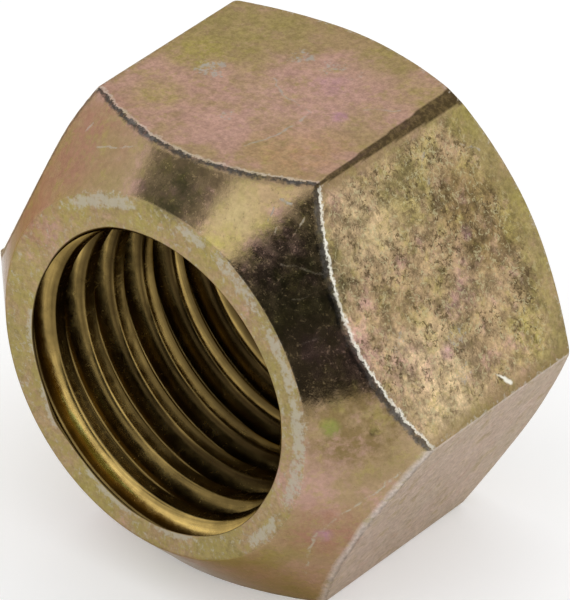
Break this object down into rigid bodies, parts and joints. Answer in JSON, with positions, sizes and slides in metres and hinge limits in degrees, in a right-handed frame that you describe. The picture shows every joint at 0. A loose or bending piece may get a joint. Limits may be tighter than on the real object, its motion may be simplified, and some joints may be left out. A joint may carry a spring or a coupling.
{
  "type": "conical seat hex nut",
  "caption": "Thick hexagon nut with a 90 degree conical seat around a flat ring at one end, for a right-hand M10 x 1.25 stud.",
  "frame": {"origin": "on the thread axis, half way along the nut's height", "axes": "+Y along the thread axis, from the conical seat end to the plain back face; +Z square to the wrench flat that is up when the nut lies on the opposite flat; +X through two corners"},
  "size_m": [0.016, 0.0094, 0.014],
  "materials": {
    "yellow_zinc": "yellow passivated zinc plating on steel, satin, mottled and scuffed"
  },
  "bodies": {
    "root": {"nut": "yellow_zinc"}
  },
  "joints": []
}
